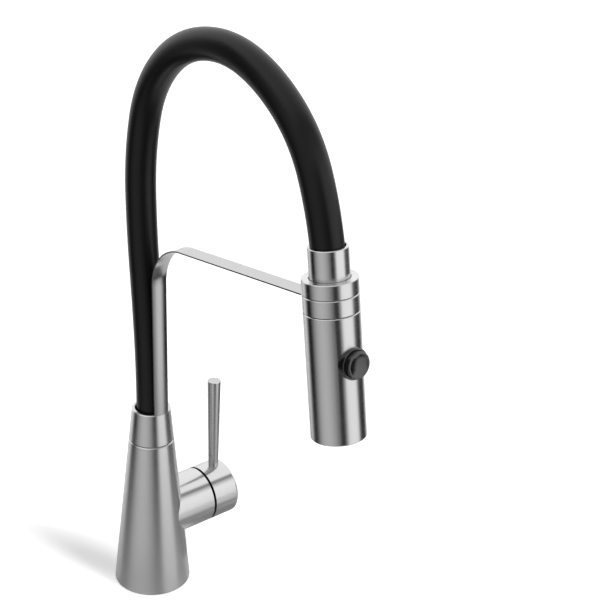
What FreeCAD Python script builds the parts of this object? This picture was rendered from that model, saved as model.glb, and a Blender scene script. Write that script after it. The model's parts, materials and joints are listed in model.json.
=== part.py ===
import FreeCAD, Part
import math
import os
from FreeCAD import Placement, Rotation, Vector

# Pull-out kitchen mixer tap. Millimetres, +Z up, origin at the centre of the foot on the deck.
# The spout points to -Y, the side handle to +X.

# Conical body
base_radius = 27.0
rim_radius = 13.4
rim_height = 139.6
collar_height = 24.6
seam_gap = 0.5
body_wall = 3.0
neck_thickness = 7.0
edge_chamfer = 0.5

# Foot, gasket and supply
foot_bottom = 1.5
foot_thickness = 16.5
gasket_inset = 6.0
gasket_width = 3.5
gasket_thickness = 3.0
inlet_radius = 4.5
inlet_depth = 12.0
inlet_offset = 7.5
pipe_radius = 4.0
pipe_wall = 1.0
stud_radius = 3.4
stud_offset = 11.5

# Side handle and cartridge
handle_height = 52.2
handle_radius = 19.9
handle_seam = 41.7
handle_end = 63.5
handle_seam_gap = 0.9
seam_chamfer = 0.5
relief_length = 4.5
relief_depth = 3.0
cap_round = 2.0
lever_from_end = 8.7
lever_rise = 89.8
lever_root_radius = 3.55
lever_tip_radius = 4.7
lever_embed = 7.0
lever_taper_start = 2.0
lever_tip_round = 0.5
housing_wall = 2.2
cartridge_clearance = 0.2
cartridge_start = 12.0
cartridge_length = 21.0
cartridge_wall = 3.0
cartridge_base = 4.0
cartridge_front = 2.4
cartridge_lip = 5.0
disc_thickness = 3.0
disc_clearance = 0.3
disc_slide_room = 3.5
disc_gap = 0.05
port_radius = 2.4
carrier_clearance = 0.5
carrier_length = 7.8
pivot_inset = 5.25
pivot_pin_radius = 1.5
pivot_pin_half = 11.0
pivot_clearance = 0.05
stem_half = 4.0
stem_back = 3.2
stem_tip_radius = 1.7
stem_tip_depth = 1.0
stem_neck_radius = 1.2
cap_face = 6.0
stem_slot_clearance = 0.4
stem_slot_half_height = 8.2
nut_length = 5.5
nut_width = 5.7
grub_radius = 2.4
grub_length = 9.0
grub_key_radius = 1.2
grub_key_depth = 3.0

# Valve core and swivel spigot
core_radius = 12.0
core_back = 12.0
spigot_radius = 9.0
spigot_rise = 13.3
spigot_bore = 4.5
spigot_bore_depth = 14.0
riser_bore = 3.5
groove_rise = 6.0
groove_width = 4.6
groove_depth = 1.2
stop_width = 3.0
stop_length = 3.6

# Swivel collar
hose_collar_gap = 0.85
bush_clearance = 0.05
bush_flange = 0.45
bush_flange_radius = 14.0
bush_over_spigot = 0.1
swivel_screw_radius = 2.0
swivel_screw_reach = 0.8

# Hose and its lower fitting
hose_radius = 10.15
hose_wall = 3.15
inner_hose_gap = 0.5
inner_hose_wall = 2.5
fitting_gap = 0.2
fitting_flange = 4.8
nipple_clearance = 0.08
nipple_length = 12.0
barb_length = 17.0
barb_wall = 1.2
seal_section = 0.7
seal_spacing = 4.0
seal_clearance = 0.05

# Arch of the hose: control points as Y and Z in the plane of the spout
arch_points = [
    (0.0, 166.0),
    (3.7, 217.3),
    (9.0, 269.0),
    (10.4, 322.4),
    (-1.8, 374.9),
    (-39.8, 411.4),
    (-95.6, 419.1),
    (-149.0, 389.0),
]
ferrule_entry = 31.3
arc_share = 0.45

# Strap arm
strap_width = 11.2
strap_thickness = 0.9
strap_lean = 1.0
strap_bend_radius = 35.0
strap_level = 13.75
strap_crown = 1.2
strap_flat_crown = 0.05
strap_bend_steps = 6

# Docking head: depths are measured down the head axis from the top of the guide collar
reach = 176.3
collar_top_height = 306.2
head_tilt = 8.2
head_radius = 16.8
collar_depth = 9.4
ring_depth = 20.1
head_length = 99.2
band_gap = 0.3
band_chamfer = 0.4
guide_clearance = 0.4
guide_lip = 1.4
bush_share = 0.35
ring_spigot_share = 0.675
ring_spigot_height = 4.5

# Spray head
hose_fit = 0.35
ferrule_wall = 1.6
ferrule_rise = 18.6
ferrule_overlap = 6.9
shell_wall = 1.5
shell_top = 3.0
shell_chamfer = 0.6
hose_end_gap = 0.2
connector_flange = 6.0
connector_barb_clearance = 0.3
connector_barb_length = 15.0
connector_spigot = 7.0
core_top_gap = 1.0
core_clearance = 0.3
valve_clearance = 0.3
valve_spool_gap = 0.7
valve_length = 5.5
chamber_radius = 5.0
spool_clearance = 0.4
spool_radius = 4.8
spool_back = 6.0
spool_neck_radius = 2.4
spool_neck_half = 2.4
outlet_radius = 4.0
aerator_headroom = 2.8
spray_channel_radius = 1.6
spray_channel_inset = 2.9
spray_channel_count = 6
spray_channel_length = 33.4
plate_recess = 0.4
plate_thickness = 3.6
plate_rim_width = 3.7
plate_dish_depth = 1.0
nozzle_seal_width = 1.2
nozzle_count = 24
nozzle_radius = 0.45
nozzle_inset = 2.0
channel_floor = 1.8
aerator_radius = 8.9
aerator_wall = 0.7
aerator_length = 11.0
screen_thickness = 1.4
screen_pitch = 1.8
screen_hole = 0.75
screen_rings = 4
peg_radius = 0.55
peg_circle = 4.7
peg_count = 3
flow_core_inset = 2.7
flow_core_thickness = 3.0

# Diverter button on the front of the spray head
button_depth = 49.0
button_radius = 8.2
button_rise = 3.2
button_clearance = 0.3
button_travel = 2.0
button_rim = 1.3
button_round = 0.6
button_dish_depth = 1.5
bezel_wall = 1.1
bezel_rise = 1.8
bezel_round = 0.4
bezel_step = 0.1
bezel_sleeve_length = 3.4
button_floor = 3.0
spring_inset = 1.3
spring_wall = 0.9

up = Vector(0, 0, 1)
right = Vector(1, 0, 0)
front = Vector(0, -1, 0)
through = 200.0


def cone_radius(height):
    return base_radius - (base_radius - rim_radius) * height / rim_height


def frustum(low, high, inset=0.0):
    low_radius = cone_radius(low) - inset
    high_radius = cone_radius(high) - inset
    return Part.makeCone(low_radius, high_radius, high - low, Vector(0, 0, low), up)


def rod(radius, start, end):
    axis = end - start
    return Part.makeCylinder(radius, axis.Length, start, axis)


def pipe(outer, inner, start, end):
    return rod(outer, start, end).cut(rod(inner, start, end))


def round_edges(solid, axis, past):
    """Closed circular edges that lie beyond a distance along an axis."""
    rims = [edge for edge in solid.Edges if edge.isClosed()]
    return [edge for edge in rims if edge.BoundBox.Center.dot(axis) > past]


def cone_blank(low, high):
    """Length of the body cone with its two outer edges broken."""
    return turned([
        (0, low),
        (cone_radius(low) - edge_chamfer, low),
        (cone_radius(low + edge_chamfer), low + edge_chamfer),
        (cone_radius(high - edge_chamfer), high - edge_chamfer),
        (cone_radius(high) - edge_chamfer, high),
        (0, high),
    ])


def band(outer, start, end):
    """Short cylinder with both edges broken."""
    blank = rod(outer, start, end)
    return blank.makeChamfer(band_chamfer, round_edges(blank, up, -through))


def on_handle(x, y=0.0, z=0.0):
    return Vector(x, y, handle_height + z)


def below(depth, x=0.0, y=0.0):
    return Vector(x, y, -depth)


def turned(profile):
    """Solid of revolution about Z from radius and height pairs."""
    points = [Vector(radius, 0, height) for radius, height in profile]
    face = Part.Face(Part.makePolygon(points + points[:1]))
    return face.revolve(Vector(0, 0, 0), up, 360)


def ring_points(count, radius):
    step = 2 * math.pi / count
    return [(radius * math.cos(i * step), radius * math.sin(i * step)) for i in range(count)]


def cut_all(shape, tools):
    for tool in tools:
        shape = shape.cut(tool)
    return shape


head_place = Placement(Vector(0, -reach, collar_top_height), Rotation(right, -head_tilt))
head_up = head_place.Rotation.multVec(up)


def in_head(shape):
    shape.Placement = head_place
    return shape


def export(name, shape):
    shape.exportStep("parts/" + name + ".step")
    state = "valid" if shape.isValid() else "INVALID"
    print(name, state, "solids", len(shape.Solids), "volume", round(shape.Volume, 1))


os.makedirs("parts", exist_ok=True)

# Lower body: a hollow cone with a neck for the spigot and an opening for the cartridge
seam_height = rim_height - collar_height
shoulder = seam_height - neck_thickness
housing_bore = handle_radius - housing_wall
cartridge_radius = housing_bore - cartridge_clearance
body_outer = frustum(0, rim_height)
side_opening = rod(housing_bore, on_handle(cartridge_start), on_handle(through))
lower_body = cone_blank(0, seam_height).cut(frustum(0, shoulder, body_wall))
lower_body = lower_body.cut(rod(spigot_radius, Vector(0, 0, shoulder), Vector(0, 0, seam_height)))
lower_body = lower_body.cut(side_opening)
export("lower_body", lower_body)

# Side housing: a tube that saddles on the cone, relieved below so that the cap has room to tip
side_housing = rod(handle_radius, on_handle(0), on_handle(handle_seam))
side_housing = side_housing.makeChamfer(seam_chamfer, round_edges(side_housing, right, base_radius))
side_housing = side_housing.cut(body_outer)
side_housing = side_housing.cut(rod(housing_bore, on_handle(0), on_handle(through)))
relief_corners = [
    on_handle(handle_seam, -handle_radius, relief_depth - handle_radius),
    on_handle(handle_seam - relief_length, -handle_radius, -handle_radius),
    on_handle(handle_seam, -handle_radius, -handle_radius),
]
relief_outline = Part.makePolygon(relief_corners + relief_corners[:1])
relief = Part.Face(relief_outline).extrude(-front * 2 * handle_radius)
side_housing = side_housing.cut(relief)
export("side_housing", side_housing)

# Foot: fills the bottom of the cone and takes the supply hoses and the studs
foot_top = foot_bottom + foot_thickness
foot = frustum(foot_bottom, foot_top, body_wall)
gasket_radius = base_radius - gasket_inset
gasket_bore = gasket_radius - gasket_width
gasket_top = Vector(0, 0, gasket_thickness)
base_gasket = pipe(gasket_radius, gasket_bore, Vector(0, 0, 0), gasket_top)
inlet_places = [Vector(0, -inlet_offset, 0), Vector(0, inlet_offset, 0)]
stud_places = [Vector(-stud_offset, 0, 0), Vector(stud_offset, 0, 0)]
pipe_bore = pipe_radius - pipe_wall
foot = foot.cut(base_gasket)
for place in inlet_places:
    foot = foot.cut(rod(inlet_radius, place, place + up * (foot_bottom + inlet_depth)))
    foot = foot.cut(rod(pipe_bore, place, place + up * foot_top))
for place in stud_places:
    foot = foot.cut(rod(stud_radius, place, place + up * foot_top))
export("mounting_foot", foot)
export("base_gasket", base_gasket)

# Valve core: cartridge seat, riser and swivel spigot in one brass casting
spigot_top = seam_height + spigot_rise
groove_height = seam_height + groove_rise
core_seat = rod(core_radius, on_handle(-core_back), on_handle(cartridge_start))
valve_core = core_seat.fuse(rod(spigot_radius, on_handle(0), Vector(0, 0, spigot_top))).removeSplitter()
spigot_floor = Vector(0, 0, spigot_top - spigot_bore_depth)
valve_core = valve_core.cut(rod(spigot_bore, spigot_floor, Vector(0, 0, spigot_top)))
valve_core = valve_core.cut(rod(riser_bore, on_handle(0), spigot_floor))
port_places = [-inlet_offset, 0.0, inlet_offset]
for y in port_places:
    valve_core = valve_core.cut(rod(port_radius, on_handle(0, y), on_handle(cartridge_start, y)))
groove_low = Vector(0, 0, groove_height - groove_width / 2)
groove_high = Vector(0, 0, groove_height + groove_width / 2)
groove = pipe(spigot_radius + groove_depth, spigot_radius - groove_depth, groove_low, groove_high)
groove_stop = Part.makeBox(stop_width, stop_length, groove_width)
groove_stop.translate(Vector(-stop_width / 2, -spigot_radius - groove_depth, groove_low.z))
valve_core = valve_core.cut(groove.cut(groove_stop))
core_outside = core_seat.fuse(rod(spigot_radius, on_handle(0), Vector(0, 0, spigot_top)))

# Supply pipes from the foot to the valve core
supply_names = ["front_supply_pipe", "rear_supply_pipe"]
for name, place in zip(supply_names, inlet_places):
    low = place + up * foot_top
    high = Vector(place.x, place.y, handle_height)
    supply_pipe = rod(pipe_radius, low, high).cut(core_outside)
    supply_pipe = supply_pipe.cut(rod(pipe_bore, low, high))
    export(name, supply_pipe)
    valve_core = valve_core.cut(rod(pipe_bore, low, high))
export("valve_core", valve_core)

# Cartridge: body, ceramic discs, rotating carrier, pivot pin, stem and nut
cartridge_end = cartridge_start + cartridge_length
cavity_radius = cartridge_radius - cartridge_wall
fixed_disc_radius = cavity_radius - disc_clearance
moving_disc_radius = cavity_radius - disc_slide_room
carrier_radius = cavity_radius - carrier_clearance
cartridge_mouth = cavity_radius - cartridge_lip
cavity_start = cartridge_start + cartridge_base
cavity_end = cartridge_end - cartridge_front
cartridge_body = rod(cartridge_radius, on_handle(cartridge_start), on_handle(cartridge_end))
cartridge_body = cartridge_body.cut(rod(cavity_radius, on_handle(cavity_start), on_handle(cavity_end)))
cartridge_body = cartridge_body.cut(rod(cartridge_mouth, on_handle(cavity_end), on_handle(cartridge_end)))
fixed_start = cavity_start
moving_start = fixed_start + disc_thickness + disc_gap
fixed_disc = rod(fixed_disc_radius, on_handle(fixed_start), on_handle(fixed_start + disc_thickness))
for y in port_places:
    port = rod(port_radius, on_handle(cartridge_start, y), on_handle(moving_start, y))
    cartridge_body = cartridge_body.cut(port)
    fixed_disc = fixed_disc.cut(port)
export("cartridge_body", cartridge_body)
export("fixed_ceramic_disc", fixed_disc)

moving_end = moving_start + disc_thickness
tip_x = moving_end - stem_tip_depth
tip_socket = stem_tip_radius + stem_slot_clearance
moving_disc = rod(moving_disc_radius, on_handle(moving_start), on_handle(moving_end))
moving_disc = moving_disc.cut(rod(tip_socket, on_handle(tip_x - tip_socket), on_handle(moving_end)))
export("moving_ceramic_disc", moving_disc)

carrier_start = moving_end + stem_slot_clearance
pivot_x = carrier_start + pivot_inset
carrier = rod(carrier_radius, on_handle(carrier_start), on_handle(carrier_start + carrier_length))
slot_half = stem_half + stem_slot_clearance
slot = Part.makeBox(carrier_length, 2 * slot_half, 2 * stem_slot_half_height)
slot.translate(on_handle(carrier_start, -slot_half, -stem_slot_half_height))
pivot_pin = rod(pivot_pin_radius, on_handle(pivot_x, -pivot_pin_half), on_handle(pivot_x, pivot_pin_half))
export("stem_carrier", carrier.cut(slot).cut(pivot_pin))
export("pivot_pin", pivot_pin)

stem_end = handle_end - cap_face
stem_start = pivot_x - stem_back
stem_block = Part.makeBox(stem_end - stem_start, 2 * stem_half, 2 * stem_half)
stem_block.translate(on_handle(stem_start, -stem_half, -stem_half))
stem_tip = Part.makeSphere(stem_tip_radius, on_handle(tip_x))
stem_neck = rod(stem_neck_radius, on_handle(tip_x), on_handle(pivot_x))
pin_hole_radius = pivot_pin_radius + pivot_clearance
pin_hole = rod(pin_hole_radius, on_handle(pivot_x, -stem_half), on_handle(pivot_x, stem_half))
valve_stem = stem_block.fuse([stem_tip, stem_neck]).removeSplitter().cut(pin_hole)
export("valve_stem", valve_stem)

nut_end = cartridge_end + nut_length
nut_bore = housing_bore - nut_width
cartridge_nut = pipe(housing_bore, nut_bore, on_handle(cartridge_end), on_handle(nut_end))
export("cartridge_nut", cartridge_nut)

# Handle cap: hollowed by a sphere about the pivot so that it tips clear of the housing
cap_start = handle_seam + handle_seam_gap
seam_sphere = math.hypot(handle_radius, cap_start - pivot_x)
handle_cap = rod(handle_radius, on_handle(cap_start), on_handle(handle_end))
cap_middle = (cap_start + handle_end) / 2
handle_cap = handle_cap.makeFillet(cap_round, round_edges(handle_cap, right, cap_middle))
handle_cap = handle_cap.makeChamfer(seam_chamfer, round_edges(handle_cap, -right, -cap_middle))
handle_cap = handle_cap.cut(Part.makeSphere(seam_sphere, on_handle(pivot_x)))
handle_cap = handle_cap.cut(stem_block)
lever_foot = handle_radius - lever_embed
lever_reach = handle_end - lever_from_end
lever_root = on_handle(lever_reach, 0, lever_foot)
handle_cap = handle_cap.cut(rod(lever_root_radius, lever_root, lever_root + up * through))
grub_top = on_handle(lever_reach, 0, -stem_half)
handle_cap = handle_cap.cut(rod(grub_radius, grub_top - up * through, grub_top))
export("handle_cap", handle_cap)

lever_straight = handle_radius + lever_taper_start
lever_pin = turned([
    (0, lever_foot),
    (lever_root_radius, lever_foot),
    (lever_root_radius, lever_straight),
    (lever_tip_radius, lever_rise),
    (0, lever_rise),
])
tip_edges = round_edges(lever_pin, up, lever_rise - lever_tip_round)
lever_pin = lever_pin.makeFillet(lever_tip_round, tip_edges)
lever_pin.translate(on_handle(lever_reach))
export("lever_pin", lever_pin)

grub_bottom = grub_top - up * grub_length
grub_screw = rod(grub_radius, grub_bottom, grub_top)
grub_screw = grub_screw.cut(rod(grub_key_radius, grub_bottom, grub_bottom + up * grub_key_depth))
export("handle_grub_screw", grub_screw)

# Swivel collar: the top of the cone, turning on a plastic bush about the spigot
collar_bottom = seam_height + seam_gap
collar_bore = hose_radius + hose_collar_gap
swivel_screw_tip = spigot_radius - swivel_screw_reach
screw_start = Vector(0, swivel_screw_tip, groove_height)
screw_hole = rod(swivel_screw_radius, screw_start, screw_start - front * through)
collar_bore_tool = rod(collar_bore, Vector(0, 0, collar_bottom), Vector(0, 0, rim_height))
collar_blank = cone_blank(collar_bottom, rim_height)
mouth_start = Vector(0, 0, rim_height - edge_chamfer)
collar_mouth = Part.makeCone(collar_bore, collar_bore + edge_chamfer, edge_chamfer, mouth_start, up)
swivel_collar = collar_blank.cut(collar_bore_tool).cut(collar_mouth).cut(screw_hole)
export("swivel_collar", swivel_collar)

bush_bore = spigot_radius + bush_clearance
bush_top = spigot_top + bush_over_spigot
bush_bottom = Vector(0, 0, collar_bottom - bush_flange)
bush_sleeve = rod(collar_bore, bush_bottom, Vector(0, 0, bush_top))
swivel_bush = bush_sleeve.fuse(rod(bush_flange_radius, bush_bottom, Vector(0, 0, collar_bottom)))
swivel_bush = swivel_bush.cut(rod(bush_bore, bush_bottom, Vector(0, 0, bush_top))).cut(screw_hole)
export("swivel_bush", swivel_bush)

screw_end = screw_start - front * (cone_radius(groove_height) - swivel_screw_tip - edge_chamfer)
swivel_screw = rod(swivel_screw_radius, screw_start, screw_end)
key_start = screw_end + front * swivel_screw_radius
swivel_screw = swivel_screw.cut(rod(grub_key_radius, key_start, screw_end))
export("swivel_screw", swivel_screw)

# Lower hose fitting: nipple in the spigot, flange in the collar, barb in the inner hose
hose_cover_bore = hose_radius - hose_wall
inner_hose_radius = hose_cover_bore - inner_hose_gap
inner_hose_bore = inner_hose_radius - inner_hose_wall
water_bore = inner_hose_bore - barb_wall
fitting_bottom = bush_top + fitting_gap
nipple_radius = spigot_bore - nipple_clearance
nipple_bottom = Vector(0, 0, fitting_bottom - nipple_length)
flange_bottom = Vector(0, 0, fitting_bottom)
flange_top = Vector(0, 0, fitting_bottom + fitting_flange)
barb_top = flange_top + up * barb_length
fitting = rod(nipple_radius, nipple_bottom, flange_bottom).fuse([
    rod(collar_bore, flange_bottom, flange_top),
    rod(inner_hose_bore, flange_top, barb_top),
])
fitting = fitting.cut(rod(water_bore, nipple_bottom, barb_top))
seal_radius = spigot_bore - seal_clearance - seal_section
seals = []
for i in (1, 2):
    centre = Vector(0, 0, fitting_bottom - i * seal_spacing)
    seals.append(Part.makeTorus(seal_radius, seal_section, centre, up))
    groove_start = centre - up * seal_section
    seal_groove = pipe(nipple_radius, seal_radius - seal_section, groove_start, centre + up * seal_section)
    fitting = fitting.cut(seal_groove)
export("lower_hose_fitting", fitting)
export("spigot_seals", Part.makeCompound(seals))

# Hose: from the collar over the arch to the ferrule
head_top = head_place.Base
hose_route = [flange_top]
hose_route += [Vector(0, y, z) for y, z in arch_points]
hose_route += [head_top + head_up * ferrule_entry, head_top + head_up * hose_end_gap]


def route_wire(points):
    """Straight runs joined by tangent arcs, with the radii and the length."""
    edges = []
    radii = []
    length = 0.0
    last = points[0]
    for before, corner, after in zip(points, points[1:], points[2:]):
        into = (corner - before).normalize()
        out = (after - corner).normalize()
        turn = into.getAngle(out)
        trim = arc_share * min((corner - before).Length, (after - corner).Length)
        radius = trim / math.tan(turn / 2)
        start = corner - into * trim
        end = corner + out * trim
        inward = (out - into).normalize()
        middle = corner + inward * (radius / math.cos(turn / 2) - radius)
        edges.append(Part.LineSegment(last, start).toShape())
        edges.append(Part.Arc(start, middle, end).toShape())
        length += (start - last).Length + radius * turn
        radii.append(radius)
        last = end
    edges.append(Part.LineSegment(last, points[-1]).toShape())
    length += (points[-1] - last).Length
    return Part.Wire(edges), radii, length


def swept(path, radius):
    circle = Part.Wire(Part.makeCircle(radius, flange_top, up))
    return path.makePipeShell([circle], True, False)


hose_path, hose_radii, hose_length = route_wire(hose_route)
hose_cover = swept(hose_path, hose_radius).cut(swept(hose_path, hose_cover_bore))
inner_hose = swept(hose_path, inner_hose_radius).cut(swept(hose_path, inner_hose_bore))
print("hose radii", [round(radius, 1) for radius in hose_radii], "length", round(hose_length, 1))
expected = math.pi * (hose_radius ** 2 - hose_cover_bore ** 2) * hose_length
print("hose volume", round(hose_cover.Volume, 1), "section times length", round(expected, 1))
export("hose_cover", hose_cover)
export("inner_hose", inner_hose)

# Strap arm: a tongue on the collar rim that bends over and runs flat to the docking ring
strap_half = strap_width / 2


def strap_section(point, inward, crown):
    """Closed outline across the strip. The edges of a crowned strip stand back from its middle."""
    side = right * strap_half
    edge = point - inward * crown
    skin = inward * strap_thickness
    back = [edge - side, point, edge + side]
    face = [corner + skin for corner in reversed(back)]
    edges = [
        Part.Arc(*back).toShape(),
        Part.LineSegment(back[2], face[0]).toShape(),
        Part.Arc(*face).toShape(),
        Part.LineSegment(face[2], back[0]).toShape(),
    ]
    return Part.Wire(edges)


def strap_run(point, inward, crown, run):
    return Part.Face(strap_section(point, inward, crown)).extrude(run)


lean = math.radians(strap_lean)
upright = Vector(0, math.sin(lean), math.cos(lean))
forward = Vector(0, -math.cos(lean), math.sin(lean))
arm_along = head_place.Rotation.multVec(front)
strap_start = Vector(0, strap_thickness - rim_radius, rim_height)
arm_end = head_top - head_up * strap_level
strap_rise = (arm_end - strap_start).dot(head_up) / upright.dot(head_up)
strap_corner = strap_start + upright * strap_rise
bend_turn = upright.getAngle(arm_along)
bend_trim = strap_bend_radius * math.tan(bend_turn / 2)
bend_start = strap_corner - upright * bend_trim
bend_end = strap_corner + arm_along * bend_trim
bend_centre = bend_start + forward * strap_bend_radius
bend_sections = []
for i in range(strap_bend_steps + 1):
    share = i / strap_bend_steps
    angle = share * bend_turn
    inward = forward * math.cos(angle) - upright * math.sin(angle)
    crown = strap_crown + (strap_flat_crown - strap_crown) * share
    bend_sections.append(strap_section(bend_centre - inward * strap_bend_radius, inward, crown))
strap_bend = Part.makeLoft(bend_sections, True, False)
strap_foot = strap_start - upright * strap_width
strap_upright = strap_run(bend_start, forward, strap_crown, strap_foot - bend_start)
strap_upright = strap_upright.cut(rod(base_radius, Vector(0, 0, 0), mouth_start)).cut(collar_blank)
strap_flat = strap_run(bend_end, -head_up, strap_flat_crown, arm_end - bend_end)
strap_flat = strap_flat.cut(in_head(rod(head_radius, below(head_length), below(0))))
strap_arm = strap_upright.fuse([strap_bend, strap_flat]).removeSplitter()
export("strap_arm", strap_arm)

# Docking ring, guide collar and guide bush at the end of the arm
ferrule_bore = hose_radius + hose_fit
ferrule_radius = ferrule_bore + ferrule_wall
guide_bore = ferrule_radius + guide_clearance
ring_band = head_radius - guide_bore
bush_radius = guide_bore + ring_band * bush_share
ring_spigot_radius = guide_bore + ring_band * ring_spigot_share
ring_top = collar_depth + band_gap / 2
ring_bottom = ring_depth - band_gap / 2
collar_low = collar_depth - band_gap / 2
spigot_high = ring_top - ring_spigot_height
docking_ring = band(head_radius, below(ring_bottom), below(ring_top))
docking_ring = docking_ring.fuse(rod(ring_spigot_radius, below(ring_bottom), below(spigot_high)))
docking_ring = docking_ring.cut(rod(bush_radius, below(ring_bottom), below(spigot_high)))
export("docking_ring", in_head(docking_ring.removeSplitter()))

guide_collar = band(head_radius, below(collar_low), below(0))
guide_collar = guide_collar.cut(rod(guide_bore, below(collar_low), below(0)))
guide_collar = guide_collar.cut(rod(bush_radius, below(collar_low), below(guide_lip)))
guide_collar = guide_collar.cut(rod(ring_spigot_radius, below(collar_low), below(spigot_high)))
export("guide_collar", in_head(guide_collar))

guide_bush = pipe(bush_radius, guide_bore, below(ring_bottom), below(guide_lip))
export("guide_bush", in_head(guide_bush))

# Spray head: ferrule, shell, connector and valve
shell_start = ring_depth + band_gap / 2
shell_bore = head_radius - shell_wall
button_place = below(button_depth)
bezel_bore = button_radius + button_clearance
bezel_radius = bezel_bore + bezel_wall
bezel_sleeve_radius = bezel_radius - bezel_step
bezel_sleeve_back = head_radius - bezel_sleeve_length
ferrule_depth = ring_depth + ferrule_overlap
ferrule = band(ferrule_radius, below(ferrule_depth), below(-ferrule_rise))
ferrule = ferrule.cut(rod(ferrule_bore, below(ferrule_depth), below(-ferrule_rise)))
export("hose_ferrule", in_head(ferrule))

head_shell = turned([
    (ferrule_radius, -shell_start),
    (head_radius - band_chamfer, -shell_start),
    (head_radius, -shell_start - band_chamfer),
    (head_radius, shell_chamfer - head_length),
    (head_radius - shell_chamfer, -head_length),
    (shell_bore, -head_length),
    (shell_bore, -shell_start - shell_top),
    (ferrule_radius, -shell_start - shell_top),
])
sleeve_hole = rod(bezel_sleeve_radius, button_place, button_place + front * through)
export("head_shell", in_head(head_shell.cut(sleeve_hole)))

connector_end = hose_end_gap + connector_flange
connector_barb_radius = inner_hose_bore - connector_barb_clearance
connector_depth = button_depth - spool_radius - valve_spool_gap - valve_length
connector = rod(ferrule_bore, below(connector_end), below(0)).fuse([
    rod(connector_barb_radius, below(0), below(-connector_barb_length)),
    rod(connector_spigot, below(connector_depth), below(connector_end)),
])
connector = connector.cut(rod(water_bore, below(connector_depth), below(-connector_barb_length)))
export("head_connector", in_head(connector))

# Spray core: water ways from the connector to the aerator and to the ring of nozzles
plate_face = head_length - plate_recess
plate_back = plate_face - plate_thickness
seal_top = plate_back - channel_floor
aerator_face = plate_face - plate_dish_depth
aerator_back = aerator_face - aerator_length
aerator_seat_depth = aerator_back - aerator_headroom
core_top_depth = ferrule_depth + core_top_gap
spray_channel_top = seal_top - spray_channel_length
spray_channel_circle = shell_bore - spray_channel_inset
spool_bore = spool_radius + spool_clearance
spray_core_radius = shell_bore - core_clearance
aerator_seat = aerator_radius + core_clearance
spool_front = bezel_sleeve_back - button_clearance
spray_core = rod(spray_core_radius, below(seal_top), below(core_top_depth))
spool_end = button_place - front * (spool_back + button_travel + core_clearance)
core_cuts = [
    rod(connector_spigot, below(connector_depth), below(core_top_depth)),
    rod(ferrule_radius, below(ferrule_depth), below(0)),
    rod(chamber_radius, below(button_depth), below(connector_depth)),
    rod(outlet_radius, below(aerator_seat_depth), below(button_depth)),
    rod(aerator_seat, below(seal_top), below(aerator_seat_depth)),
    rod(spool_bore, spool_end, button_place + front * through),
    rod(bezel_radius, button_place + front * spool_front, button_place + front * through),
]
for x, y in ring_points(spray_channel_count, spray_channel_circle):
    core_cuts.append(rod(spray_channel_radius, below(seal_top, x, y), below(spray_channel_top, x, y)))
export("spray_core", in_head(cut_all(spray_core, core_cuts)))

valve_radius = chamber_radius - valve_clearance
valve_end = connector_depth + valve_length
check_valve = pipe(valve_radius, water_bore, below(valve_end), below(connector_depth))
export("check_valve", in_head(check_valve))

nozzle_seal_bore = shell_bore - nozzle_seal_width
nozzle_seal = pipe(shell_bore, nozzle_seal_bore, below(plate_back), below(seal_top))
export("nozzle_seal", in_head(nozzle_seal))

# Nozzle plate with its ring of fine jets, and the aerator in the middle
nozzle_plate = pipe(shell_bore, aerator_radius, below(plate_face), below(plate_back))
plate_dish_radius = shell_bore - plate_rim_width
nozzle_circle = shell_bore - nozzle_inset
nozzle_plate = nozzle_plate.cut(rod(plate_dish_radius, below(plate_face), below(aerator_face)))
jets = [rod(nozzle_radius, below(plate_face, x, y), below(plate_back, x, y))
        for x, y in ring_points(nozzle_count, nozzle_circle)]
export("nozzle_plate", in_head(cut_all(nozzle_plate, jets)))

aerator_bore = aerator_radius - aerator_wall
aerator_housing = pipe(aerator_radius, aerator_bore, below(aerator_face), below(aerator_back))
export("aerator_housing", in_head(aerator_housing))

flow_core_depth = aerator_back + flow_core_inset
flow_core_end = flow_core_depth + flow_core_thickness
peg_places = ring_points(peg_count, peg_circle)
flow_core = pipe(aerator_bore, outlet_radius, below(flow_core_end), below(flow_core_depth))
pegs = [rod(peg_radius, below(aerator_face, x, y), below(flow_core_end, x, y)) for x, y in peg_places]
flow_core = flow_core.fuse(pegs)
export("aerator_flow_core", in_head(flow_core))

screen = rod(aerator_bore, below(aerator_face), below(aerator_face - screen_thickness))
hexagon = [Vector(screen_hole * math.cos(math.radians(a)), screen_hole * math.sin(math.radians(a)), 0)
           for a in range(30, 420, 60)]
hole_tool = Part.Face(Part.makePolygon(hexagon)).extrude(up * screen_thickness)
holes = []
for row in range(-screen_rings, screen_rings + 1):
    for column in range(-screen_rings, screen_rings + 1):
        if abs(row + column) > screen_rings:
            continue
        x = screen_pitch * (column + row / 2)
        y = screen_pitch * row * math.sqrt(3) / 2
        hole = hole_tool.copy()
        hole.translate(below(aerator_face, x, y))
        holes.append(hole)
screen = screen.cut(Part.makeCompound(holes))
screen = cut_all(screen, pegs)
export("aerator_screen", in_head(screen))

# Diverter button: bezel on the shell, cap, return spring and spool
bezel_face = head_radius + bezel_rise
button_face = bezel_face + button_rise
bezel_front = button_place + front * bezel_face
bezel_back = button_place + front * bezel_sleeve_back
button_bezel = rod(bezel_radius, button_place, bezel_front)
button_bezel = button_bezel.makeFillet(bezel_round, round_edges(button_bezel, front, head_radius))
button_bezel = button_bezel.cut(rod(head_radius, below(head_length), below(0)))
bezel_sleeve = rod(bezel_sleeve_radius, bezel_back, button_place + front * head_radius)
button_bezel = button_bezel.fuse(bezel_sleeve)
button_bezel = button_bezel.cut(rod(bezel_bore, button_place, bezel_front)).removeSplitter()
export("button_bezel", in_head(button_bezel))

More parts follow.
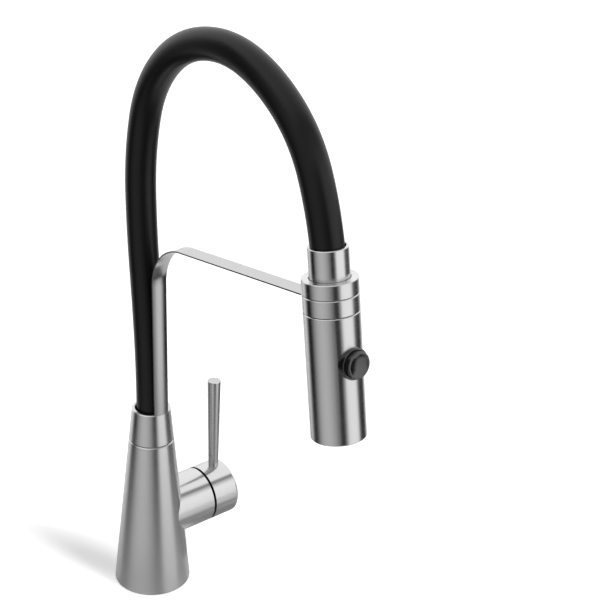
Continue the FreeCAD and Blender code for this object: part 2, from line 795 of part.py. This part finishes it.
button_front = button_place + front * button_face
button_back = button_place + front * (bezel_face - button_floor)
button_cap = rod(button_radius, button_back, button_front)
button_cap = button_cap.makeFillet(button_round, round_edges(button_cap, front, bezel_face))
button_dish_radius = button_radius - button_rim
dish_ball = (button_dish_radius ** 2 + button_dish_depth ** 2) / (2 * button_dish_depth)
dish_centre = button_front + front * (dish_ball - button_dish_depth)
button_cap = button_cap.cut(Part.makeSphere(dish_ball, dish_centre))
export("button_cap", in_head(button_cap))

diverter_spool = rod(spool_radius, button_place - front * spool_back, button_back)
neck_start = button_place - front * spool_neck_half
neck = pipe(spool_radius, spool_neck_radius, neck_start, button_place + front * spool_neck_half)
export("diverter_spool", in_head(diverter_spool.cut(neck)))

spring_seat = button_place + front * spool_front
spring_outer = button_radius - spring_inset
button_spring = pipe(spring_outer, spring_outer - spring_wall, spring_seat, button_back)
export("button_spring", in_head(button_spring))
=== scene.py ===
import bmesh
import bpy
import json
import math
from mathutils import Matrix, Vector


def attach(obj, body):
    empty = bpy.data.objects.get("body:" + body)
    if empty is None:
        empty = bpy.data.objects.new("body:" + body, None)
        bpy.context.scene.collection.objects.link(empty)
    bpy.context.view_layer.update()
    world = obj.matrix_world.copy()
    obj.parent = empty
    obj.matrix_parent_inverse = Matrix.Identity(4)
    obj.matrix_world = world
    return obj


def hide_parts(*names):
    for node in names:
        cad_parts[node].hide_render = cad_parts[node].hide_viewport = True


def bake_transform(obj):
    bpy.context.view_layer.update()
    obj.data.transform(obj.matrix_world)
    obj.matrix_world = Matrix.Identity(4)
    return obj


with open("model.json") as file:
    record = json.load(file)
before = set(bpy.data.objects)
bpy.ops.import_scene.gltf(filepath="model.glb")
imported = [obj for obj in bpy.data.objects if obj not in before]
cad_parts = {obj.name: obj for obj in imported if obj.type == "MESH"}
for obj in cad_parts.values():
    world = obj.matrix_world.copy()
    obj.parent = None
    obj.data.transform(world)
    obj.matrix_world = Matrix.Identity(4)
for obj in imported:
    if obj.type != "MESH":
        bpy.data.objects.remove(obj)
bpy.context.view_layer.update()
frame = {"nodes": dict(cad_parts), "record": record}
nodes = frame["nodes"]
scene = bpy.context.scene
scene.view_settings.view_transform = "Standard"
mm = 0.001
fullWhite = (1, 1, 1, 1)
print("frame loaded:", len(nodes), "nodes")


def linearColour(hexValue):
    parts = [int(hexValue[i:i + 2], 16) / 255 for i in (0, 2, 4)]
    return [c / 12.92 if c <= 0.04045 else ((c + 0.055) / 1.055) ** 2.4 for c in parts] + [1.0]


def setInputs(tree, node, inputs):
    for name, value in inputs.items():
        if isinstance(value, bpy.types.NodeSocket):
            tree.links.new(value, node.inputs[name])
        else:
            node.inputs[name].default_value = value


def addNode(tree, kind, inputs=None, **settings):
    node = tree.nodes.new(kind)
    for name, value in settings.items():
        setattr(node, name, value)
    setInputs(tree, node, inputs or {})
    return node


def mixColours(tree, share, first, second):
    mix = addNode(tree, "ShaderNodeMix", {"Factor": share, "A": first, "B": second}, data_type="RGBA")
    return mix.outputs["Result"]


def mapRange(tree, value, source, target):
    spread = addNode(tree, "ShaderNodeMapRange", {
        "Value": value, "From Min": source[0], "From Max": source[1],
        "To Min": target[0], "To Max": target[1]})
    return spread.outputs["Result"]


def combine(tree, operation, first, second):
    return addNode(tree, "ShaderNodeMath", {0: first, 1: second}, operation=operation).outputs["Value"]


def vectorLength(tree, vector):
    return addNode(tree, "ShaderNodeVectorMath", {0: vector}, operation="LENGTH").outputs["Value"]


def newMaterial(name):
    material = bpy.data.materials.new(name)
    material.use_nodes = True
    tree = material.node_tree
    return material, tree, tree.nodes["Principled BSDF"]


def meshPiece(name, work, sharpAngle=math.radians(32.0)):
    bmesh.ops.recalc_face_normals(work, faces=work.faces)
    mesh = bpy.data.meshes.new(name)
    for face in work.faces:
        face.smooth = True
    for edge in work.edges:
        if len(edge.link_faces) == 2 and edge.calc_face_angle() > sharpAngle:
            edge.smooth = False
    work.to_mesh(mesh)
    work.free()
    piece = bpy.data.objects.new(name, mesh)
    scene.collection.objects.link(piece)
    return piece


# camera: stands in front and to the left of the tap, a little above it
cameraSet = {
    "place": (-0.5624, -0.7922, 0.6992),
    "right": (0.7798, -0.6257, 0.0194),
    "up": (0.2605, 0.3525, 0.8988),
    "back": (-0.5692, -0.6959, 0.4379),
    "focalPixels": 1617.3,
    "framePixels": 616.0,
    "axisPixel": (249.64, 294.67),  # where the lens axis meets the picture
    "sensor": 36.0,
    "clip": (0.01, 50.0),
}


def makeCamera(setup):
    data = bpy.data.cameras.new("tapCamera")
    camera = bpy.data.objects.new("tapCamera", data)
    scene.collection.objects.link(camera)
    turn = Matrix([setup["right"], setup["up"], setup["back"]]).transposed().to_quaternion()
    camera.matrix_world = Matrix.Translation(setup["place"]) @ turn.to_matrix().to_4x4()
    across, down = setup["axisPixel"]
    half = setup["framePixels"] / 2
    data.sensor_width = setup["sensor"]
    data.lens = setup["focalPixels"] * setup["sensor"] / setup["framePixels"]
    data.shift_x = (half - across) / setup["framePixels"]
    data.shift_y = (down - half) / setup["framePixels"]
    data.clip_start, data.clip_end = setup["clip"]
    scene.camera = camera


makeCamera(cameraSet)
print("camera placed")

# spray head: place of its top in the plane of the spout, and its lean, with the outlet away from the body
headSet = {"reach": 176.3, "top": 306.2, "tilt": 8.2}
headTurn = Matrix.Rotation(-math.radians(headSet["tilt"]), 4, "X")
headPlace = Matrix.Translation((0, -headSet["reach"] * mm, headSet["top"] * mm)) @ headTurn

# black hose: one smooth line from the collar over the arch into the ferrule
hoseSet = {
    "radius": 10.15,
    "length": 494.0,
    "route": [  # y and z in mm, in the plane of the spout
        (0.0, 133.4), (0.0, 166.0), (3.7, 217.3), (9.0, 269.0), (10.4, 322.4), (-1.8, 374.9),
        (-39.8, 411.4), (-95.6, 419.1), (-149.0, 389.0), (-171.8, 337.2), (-176.3, 306.4),
    ],
    "order": 3,
    "stepsPerSpan": 24,
    "sides": 64,
}

# drawn-out hose: lies inside the end of the hose at rest, along the spray head's axis
drawnSet = {"radius": 10.0, "top": 8.0, "bottom": 0.5, "steps": 40}


def routePoints(setup):
    curve = bpy.data.curves.new("hoseLine", "CURVE")
    curve.dimensions = "3D"
    spline = curve.splines.new("NURBS")
    spline.points.add(len(setup["route"]) - 1)
    for point, (y, z) in zip(spline.points, setup["route"]):
        point.co = (0, y * mm, z * mm, 1)
    spline.order_u = setup["order"]
    spline.use_endpoint_u = True
    spline.resolution_u = setup["stepsPerSpan"]
    holder = bpy.data.objects.new("hoseLine", curve)
    line = bpy.data.meshes.new_from_object(holder)
    points = [v.co.copy() for v in line.vertices]
    bpy.data.objects.remove(holder)
    bpy.data.curves.remove(curve)
    bpy.data.meshes.remove(line)
    return points


def tubeAlong(name, points, radius, sides):
    work = bmesh.new()
    sideways = Vector((1, 0, 0))
    turns = [2 * math.pi * k / sides for k in range(sides)]
    last = len(points) - 1
    rings = []
    for i, point in enumerate(points):
        ahead = (points[min(i + 1, last)] - points[max(i - 1, 0)]).normalized()
        outward = sideways.cross(ahead)
        spokes = [sideways * math.cos(turn) + outward * math.sin(turn) for turn in turns]
        rings.append([work.verts.new(point + radius * spoke) for spoke in spokes])
    for low, high in zip(rings, rings[1:]):
        for k in range(sides):
            n = (k + 1) % sides
            work.faces.new((low[k], low[n], high[n], high[k]))
    work.faces.new(rings[0])
    work.faces.new(rings[-1])
    return meshPiece(name, work)


hoseLine = routePoints(hoseSet)
hose = tubeAlong("rubberHose", hoseLine, hoseSet["radius"] * mm, hoseSet["sides"])
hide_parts("hose_cover", "inner_hose")
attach(hose, "spout")
drawnTop = headPlace @ Vector((0, 0, drawnSet["top"] * mm))
drawnBottom = headPlace @ Vector((0, 0, drawnSet["bottom"] * mm))
drawnLine = [drawnTop.lerp(drawnBottom, i / drawnSet["steps"]) for i in range(drawnSet["steps"] + 1)]
drawnHose = tubeAlong("drawnHose", drawnLine, drawnSet["radius"] * mm, hoseSet["sides"])
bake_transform(drawnHose)
print("hose run:", len(hoseLine), "points")

noiseSpan = (0.3, 0.7)  # most noise values lie in here

# stainless steel, brushed on the lathe: fine rings stretch reflections along the axis into long stripes
brushedSet = {
    "colours": ("cdcdcd", "d2d2d2"),
    "line": 0.4,  # mm: real brush lines are near 0.05, drawn coarser here so that they show
    "lineLength": 40.0,
    "lineDepth": 0.02,
    "detail": 4.0,
    "rough": (0.21, 0.27),
    "bump": 0.02,
    "stretch": 0.78,
    "stretchTurn": 0.25,  # part of a full turn, from along the lines to across them
    # painted shade: the near-black colour of the collar's bore and the cap's end face, in their gaps
    "gapShadeColour": "161616",
}

# strip, brushed along its length: the stripes blur sideways. Its colours are darker than the other steel's:
# painted shade, for the dimmer light that the strip sees
shadedStripSet = dict(brushedSet, colours=("b6b6b6", "bcbcbc"), rough=(0.2, 0.24), tangent=(0, -1, 1))

# collar and cap: the bore and the end face at the seam get a near-black colour, painted shade for their gaps
collarSet = dict(brushedSet, boreRadius=11.2)
capSet = dict(brushedSet, endFacing=-0.5)  # faces that point along -X by at least this much


# where the painted gap shade goes: inside the bore radius, or on faces that point along -X
def paintedGapShadeShare(tree, place, setup):
    if "boreRadius" in setup:
        flat = addNode(tree, "ShaderNodeVectorMath", {0: place["Object"], 1: (1, 1, 0)}, operation="MULTIPLY")
        return combine(tree, "LESS_THAN", vectorLength(tree, flat.outputs["Vector"]), setup["boreRadius"] * mm)
    facing = addNode(tree, "ShaderNodeSeparateXYZ", {"Vector": place["Normal"]})
    return combine(tree, "LESS_THAN", facing.outputs["X"], setup["endFacing"])


def brushedStainless(name, axis, setup):
    material, tree, shader = newMaterial(name)
    place = addNode(tree, "ShaderNodeTexCoord").outputs
    across = 1.0 / (setup["line"] * mm)
    along = 1.0 / (setup["lineLength"] * mm)
    scale = {"X": (across, along, along), "Z": (along, along, across)}[axis]
    spread = addNode(tree, "ShaderNodeMapping", {"Vector": place["Object"], "Scale": scale})
    lines = addNode(tree, "ShaderNodeTexNoise", {
        "Vector": spread.outputs["Vector"], "Scale": 1.0, "Detail": setup["detail"]}).outputs["Fac"]
    tone = mixColours(tree, lines, *[linearColour(colour) for colour in setup["colours"]])
    # painted shade on the bore and the end face, which lie in gaps
    if "boreRadius" in setup or "endFacing" in setup:
        tone = mixColours(tree, paintedGapShadeShare(tree, place, setup), tone, linearColour(setup["gapShadeColour"]))
    groove = addNode(tree, "ShaderNodeBump", {
        "Height": lines, "Strength": setup["bump"], "Distance": setup["lineDepth"] * mm})
    if "tangent" in setup:
        tangent = addNode(tree, "ShaderNodeVectorTransform", {"Vector": setup["tangent"]},
                          vector_type="VECTOR", convert_from="OBJECT", convert_to="WORLD")
    else:
        tangent = addNode(tree, "ShaderNodeTangent", direction_type="RADIAL", axis=axis)
    setInputs(tree, shader, {
        "Base Color": tone,
        "Roughness": mapRange(tree, lines, noiseSpan, setup["rough"]),
        "Normal": groove.outputs["Normal"],
        "Tangent": tangent.outputs[0],
        "Metallic": 1.0,
        "Anisotropic": setup["stretch"],
        "Anisotropic Rotation": setup["stretchTurn"],
    })
    return material


# other finishes: a colour pair, a grain size in mm and a roughness pair for each
finishSet = {
    # polished after turning: a soft mirror that dims towards its edges
    "polished_steel": {
        "name": "polishedStainless", "colours": ("c8c8c8", "d0d0d0"), "metal": 1.0, "edge": 0.4,
        "grain": 3.0, "rough": (0.2, 0.26), "bump": 0.0},
    # blackened after coiling: dull dark wire with a faint gleam
    "dark_steel": {
        "name": "blackenedSpringSteel", "colours": ("48484a", "5c5c5e"), "metal": 1.0,
        "grain": 1.0, "rough": (0.35, 0.5), "bump": 0.05},
    # plated over turned brass; its near-black colour is painted shade, so that a gap looks dark
    "nickel_plate": {
        "name": "darkPlatedBrassGapShade", "colours": ("2c2c2c", "363636"), "metal": 1.0,
        "grain": 1.2, "rough": (0.3, 0.42), "bump": 0.05},
    # turned and left bare: warm yellow metal with a satin gleam
    "brass": {
        "name": "turnedBrass", "colours": ("c9a468", "d8b87c"), "metal": 1.0,
        "grain": 1.2, "rough": (0.28, 0.4), "bump": 0.05},
    # extruded silicone: deep black with one broad, soft gleam along the hose
    "black_hose_rubber": {
        "name": "mattSiliconeRubber", "colours": ("070707", "0b0b0b"), "metal": 0.0, "shine": 0.3,
        "grain": 0.8, "rough": (0.32, 0.4), "bump": 0.04},
    # braided yarn: speckled, dull grey
    "grey_inner_hose": {
        "name": "braidedPressureHose", "colours": ("6c6e70", "8c8e90"), "metal": 0.0,
        "grain": 0.8, "rough": (0.5, 0.6), "bump": 0.2},
    # moulded rubber: dull charcoal
    "black_rubber_seal": {
        "name": "mouldedSealRubber", "colours": ("1c1c1c", "262626"), "metal": 0.0,
        "grain": 0.6, "rough": (0.55, 0.7), "bump": 0.1},
    # moulded in a finely spark-eroded tool: black with a clear, slightly grainy gleam
    "black_plastic": {
        "name": "sparkErodedAbs", "colours": ("121213", "1a1a1b"), "metal": 0.0, "shine": 1.0,
        "grain": 0.35, "rough": (0.16, 0.24), "bump": 0.03},
    # moulded satin: even light grey
    "grey_plastic": {
        "name": "satinAcetalGrey", "colours": ("8a8b8d", "949597"), "metal": 0.0,
        "grain": 0.5, "rough": (0.4, 0.5), "bump": 0.05},
    # machined from rod: milky white with a faint grain
    "white_acetal": {
        "name": "machinedAcetal", "colours": ("e4e3dc", "efeee8"), "metal": 0.0,
        "grain": 0.5, "rough": (0.35, 0.45), "bump": 0.05},
    # lapped flat: smooth off-white with a wet gleam
    "ceramic": {
        "name": "lappedAlumina", "colours": ("e6e3dc", "efece6"), "metal": 0.0,
        "grain": 0.3, "rough": (0.12, 0.2), "bump": 0.0},
}
grainDetail = 3.0
grainDepth = 0.05
plainShine = 0.5
plainEdge = 1.0


def grainedFinish(setup):
    material, tree, shader = newMaterial(setup["name"])
    place = addNode(tree, "ShaderNodeTexCoord").outputs
    grain = addNode(tree, "ShaderNodeTexNoise", {
        "Vector": place["Object"], "Scale": 1.0 / (setup["grain"] * mm), "Detail": grainDetail}).outputs["Fac"]
    relief = addNode(tree, "ShaderNodeBump", {
        "Height": grain, "Strength": setup["bump"], "Distance": grainDepth * mm})
    setInputs(tree, shader, {
        "Base Color": mixColours(tree, grain, *[linearColour(colour) for colour in setup["colours"]]),
        "Roughness": mapRange(tree, grain, noiseSpan, setup["rough"]),
        "Normal": relief.outputs["Normal"],
        "Metallic": setup["metal"],
        "Specular IOR Level": setup.get("shine", plainShine),
        "Specular Tint": [setup.get("edge", plainEdge)] * 3 + [1.0],
    })
    return material


finishes = {slot: grainedFinish(setup) for slot, setup in finishSet.items()}
finishes["brushed_stainless"] = brushedStainless("brushedStainlessUpright", "Z", brushedSet)
finishByNode = {
    "side_housing": brushedStainless("brushedStainlessSide", "X", brushedSet),
    "handle_cap": brushedStainless("brushedStainlessCap", "X", capSet),
    "strap_arm": brushedStainless("brushedStainlessStripPaintedShade", "X", shadedStripSet),
    "swivel_collar": brushedStainless("brushedStainlessCollar", "Z", collarSet),
    # painted shade: these parts are seen through gaps and get the near-black plating
    "cartridge_nut": finishes["nickel_plate"],
    "valve_stem": finishes["nickel_plate"],
    "lower_hose_fitting": finishes["nickel_plate"],
}
for part in frame["record"]["subparts"]:
    slots = nodes[part["node"]].data.materials
    slots.clear()
    slots.append(finishByNode.get(part["node"], finishes[part["material_slot"]]))
for piece in (hose, drawnHose):
    piece.data.materials.append(finishes["black_hose_rubber"])
print("finishes:", len(set(finishes.values()) | set(finishByNode.values())))

# floor: white paper that keeps the shadow, faded at its edges and far end by painted light, and shows faintly
# in the steel
floorSet = {
    "half": 6.0,
    "colour": "f4f4f4",
    "rough": 0.9,
    # painted light for the camera: less in the oval where the shadow lies than away from it, so that the
    # shadow's edges and far end fade
    "lift": (0.2, 0.55),  # extra white for the camera: in the shadow and away from it
    "liftReach": (0.25, 1.2),  # from and to, in half sizes of the oval where the shadow lies
    "ovalPlace": (-0.022, 0.038, 0.0),
    "ovalTurn": 16.0,
    "ovalHalf": (0.02, 0.074, 1.0),
    "farReach": (0.8, 2.6),  # between these distances the floor goes fully white
    "farLift": (0.0, 0.6),
    "sheenColour": "d8d8d8",
    "sheen": 0.68,  # share of the floor in reflections, fading out along the reach in m
    "sheenReach": 0.425,
}


def makeFloor(setup):
    material, tree, shader = newMaterial("paperFloor")
    path = addNode(tree, "ShaderNodeLightPath").outputs
    place = addNode(tree, "ShaderNodeTexCoord").outputs["Object"]
    oval = addNode(tree, "ShaderNodeMapping", {
        "Vector": place, "Location": setup["ovalPlace"], "Scale": setup["ovalHalf"],
        "Rotation": (0, 0, math.radians(setup["ovalTurn"]))}, vector_type="TEXTURE")
    # painted light that fades the cast shadow around its core
    shadowFadeLight = mapRange(tree, vectorLength(tree, oval.outputs["Vector"]), setup["liftReach"], setup["lift"])
    farLift = mapRange(tree, vectorLength(tree, place), setup["farReach"], setup["farLift"])
    lift = combine(tree, "ADD", shadowFadeLight, farLift)
    colours = linearColour(setup["colour"]), linearColour(setup["sheenColour"])
    setInputs(tree, shader, {
        "Base Color": mixColours(tree, path["Is Glossy Ray"], *colours),
        "Roughness": setup["rough"],
        "Specular IOR Level": 0.0,
        "Emission Color": fullWhite,
        "Emission Strength": combine(tree, "MULTIPLY", path["Is Camera Ray"], lift),
    })
    sheer = mapRange(tree, path["Ray Length"], (0.0, setup["sheenReach"]), (1.0 - setup["sheen"], 1.0))
    cover = addNode(tree, "ShaderNodeMixShader", {
        0: combine(tree, "MULTIPLY", path["Is Glossy Ray"], sheer), 1: shader.outputs["BSDF"],
        2: addNode(tree, "ShaderNodeBsdfTransparent").outputs["BSDF"]})
    setInputs(tree, tree.nodes["Material Output"], {"Surface": cover.outputs["Shader"]})
    half = setup["half"]
    corners = ((-half, -half, 0), (half, -half, 0), (half, half, 0), (-half, half, 0))
    work = bmesh.new()
    work.faces.new([work.verts.new(c) for c in corners])
    floor = meshPiece("studioFloor", work)
    floor.data.materials.append(material)


# surroundings: plain white to the eye, dimmer as a light
worldSet = {"seen": 1.0, "light": 0.45}


def makeWorld(setup):
    world = bpy.data.worlds.new("studioWorld")
    scene.world = world
    world.use_nodes = True
    tree = world.node_tree
    path = addNode(tree, "ShaderNodeLightPath").outputs
    seen = combine(tree, "MAXIMUM", path["Is Camera Ray"], path["Is Glossy Ray"])
    seen = combine(tree, "MAXIMUM", seen, path["Is Transmission Ray"])
    setInputs(tree, tree.nodes["Background"], {
        "Color": fullWhite, "Strength": mapRange(tree, seen, (0.0, 1.0), (setup["light"], setup["seen"]))})


# a card is a grid of points with a grey each, and only reflections see it
def glowCard(name, rows):
    work = bmesh.new()
    layer = work.loops.layers.float_color.new("grey")
    grid = [[(work.verts.new(point), grey) for point, grey in row] for row in rows]
    for first, second in zip(grid, grid[1:]):
        for i in range(len(first) - 1):
            corners = (first[i], second[i], second[i + 1], first[i + 1])
            face = work.faces.new([corner for corner, grey in corners])
            for loop, (corner, grey) in zip(face.loops, corners):
                loop[layer] = (grey, grey, grey, 1)
    card = meshPiece(name, work)
    material, tree, shader = newMaterial(name)
    tone = addNode(tree, "ShaderNodeVertexColor", layer_name="grey")
    glow = addNode(tree, "ShaderNodeEmission", {"Color": tone.outputs["Color"]})
    setInputs(tree, tree.nodes["Material Output"], {"Surface": glow.outputs["Emission"]})
    card.data.materials.append(material)
    card.visible_camera = False
    card.visible_diffuse = False
    card.visible_shadow = False
    card.visible_transmission = False


# ring of cards round the tap: turns are in degrees from the camera, right is plus, and heights in m
ringSet = {
    "radius": 1.8,
    "bands": [  # turn, and the greys that steel sees there, high and low
        (-180, 1.0, 1.0), (-140, 0.95, 0.95), (-124, 0.8, 0.8), (-114, 0.3, 0.3), (-106, 0.0, 0.02),
        (-90, 0.0, 0.05), (-80, 0.18, 0.32), (-66, 0.45, 0.82), (-52, 0.6, 1.0), (-36, 0.66, 1.02),
        (-20, 0.58, 0.86), (-6, 0.4, 0.56), (5, 0.2, 0.2), (13, 0.02, 0.04), (23, 0.02, 0.04),
        (29, 0.3, 0.1), (37, 0.85, 0.4), (48, 1.08, 0.7), (66, 1.1, 0.8), (75, 1.0, 0.85),
        (82, 0.55, 0.45), (88, 0.1, 0.08), (94, 0.0, 0.02), (118, 0.0, 0.02), (126, 0.3, 0.3),
        (138, 0.9, 0.9), (180, 1.0, 1.0),
    ],
    "footEnds": (-4.0, -1.25),  # the foot, below what the cone and the lever see
    "footGreys": [(-180, 0.06), (92, 0.8)],  # from this turn on: light behind, where the strap's bend looks
    "lowEnds": (-1.0, -0.92),  # the low greys
    "highStart": -0.78,
    "tops": [  # from this turn on: where the high greys end and the light part starts
        (-180, 0.05, 0.35), (-117, 1.6, 2.2), (36.5, -0.3, 0.0), (78, 0.05, 0.35)],
    "lightEnd": 4.0,
    "lightGrey": 1.25,
}


def fromTurnOn(steps, angle):
    return [step for step in steps if step[0] <= angle][-1][1:]


def makeRing(setup):
    facing = math.atan2(cameraSet["place"][0], -cameraSet["place"][1])
    columns = []
    for angle, highGrey, lowGrey in setup["bands"]:
        turn = facing + math.radians(angle)
        x = setup["radius"] * math.sin(turn)
        y = -setup["radius"] * math.cos(turn)
        highEnd, lightStart = fromTurnOn(setup["tops"], angle)
        footGrey, = fromTurnOn(setup["footGreys"], angle)
        levels = [(z, footGrey) for z in setup["footEnds"]]
        levels += [(z, lowGrey) for z in setup["lowEnds"]]
        levels += [(z, highGrey) for z in (setup["highStart"], highEnd)]
        levels += [(z, setup["lightGrey"]) for z in (lightStart, setup["lightEnd"])]
        columns.append([((x, y, z), grey) for z, grey in levels])
    glowCard("studioCards", columns)


# flag above the front, along the handle: draws the thin dark line on its round
flagSet = {
    "centre": (0, 0, 0.052),
    "distance": 1.2,
    "turn": 57.8,
    "bands": [(-0.5, 1.25), (-0.25, 0.8), (-0.05, 0.25), (0.05, 0.1), (0.22, 1.15)],  # offset in m and grey
    "ends": (-1.2, 2.2),
}


def makeFlag(setup):
    turn = math.radians(setup["turn"])
    outward = Vector((0, -math.cos(turn), math.sin(turn)))
    across = Vector((0, math.sin(turn), math.cos(turn)))
    middle = outward * setup["distance"] + Vector(setup["centre"])
    ends = [Vector((x, 0, 0)) for x in setup["ends"]]
    glowCard("studioFlag", [
        [(middle + end + across * offset, grey) for end in ends] for offset, grey in setup["bands"]])


# card on the floor below the handle: keeps its lower side grey
tableSet = {"x": (0.046, 0.1), "y": (-0.04, 0.05), "height": 0.0005, "grey": 0.3}


def makeTableCard(setup):
    glowCard("studioTableCard", [
        [((x, y, setup["height"]), setup["grey"]) for x in setup["x"]] for y in setup["y"]])


# lamps: a soft key in front of the spout, whose shadow falls behind the foot, and a broad fill above
lampSet = {
    "key": {"from": (0.42, -1.45, 2.12), "size": 0.55, "power": 24.0},
    "top": {"from": (-0.3, 0.4, 2.4), "size": 1.6, "power": 8.0},
}
lampAim = Vector((0, -0.05, 0.15))


def makeLamp(name, setup):
    data = bpy.data.lights.new(name, "AREA")
    data.shape = "DISK"
    data.size = setup["size"]
    data.energy = setup["power"]
    lamp = bpy.data.objects.new(name, data)
    lamp.location = setup["from"]
    lamp.rotation_euler = (lampAim - Vector(setup["from"])).to_track_quat("-Z", "Y").to_euler()
    lamp.visible_glossy = False
    scene.collection.objects.link(lamp)


makeFloor(floorSet)
makeWorld(worldSet)
makeRing(ringSet)
makeFlag(flagSet)
makeTableCard(tableSet)
for lampName, lampSetup in lampSet.items():
    makeLamp(lampName + "Lamp", lampSetup)
print("studio lit")
